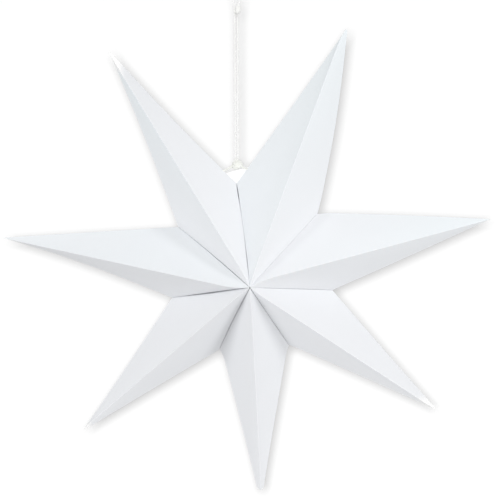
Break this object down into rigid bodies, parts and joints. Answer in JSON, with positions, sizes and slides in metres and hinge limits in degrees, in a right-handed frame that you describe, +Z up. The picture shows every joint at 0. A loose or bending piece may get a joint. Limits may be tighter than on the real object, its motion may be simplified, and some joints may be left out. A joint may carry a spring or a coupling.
{
  "type": "folded paper star",
  "caption": "Three-dimensional star of folded card points, hollow inside, that hangs from a knotted cord loop.",
  "frame": {"origin": "inside the top of the hanging loop, where the cord rests on its hook", "axes": "+Z up along the hanging cord, -Y towards the viewer of the picture, +X to the right"},
  "size_m": [0.4339, 0.1188, 0.4763],
  "materials": {
    "card": "matt, smooth white card",
    "cord": "undyed twisted cotton"
  },
  "bodies": {
    "root": {"point_upper_right": "card", "point_right": "card", "point_lower_right": "card", "point_bottom": "card", "point_lower_left": "card", "point_left": "card", "point_upper_left": "card", "hanging_cord": "cord", "notch_knot": "cord", "loop_knot": "cord", "stopper_knot_left": "cord", "stopper_knot_right": "cord"}
  },
  "joints": []
}
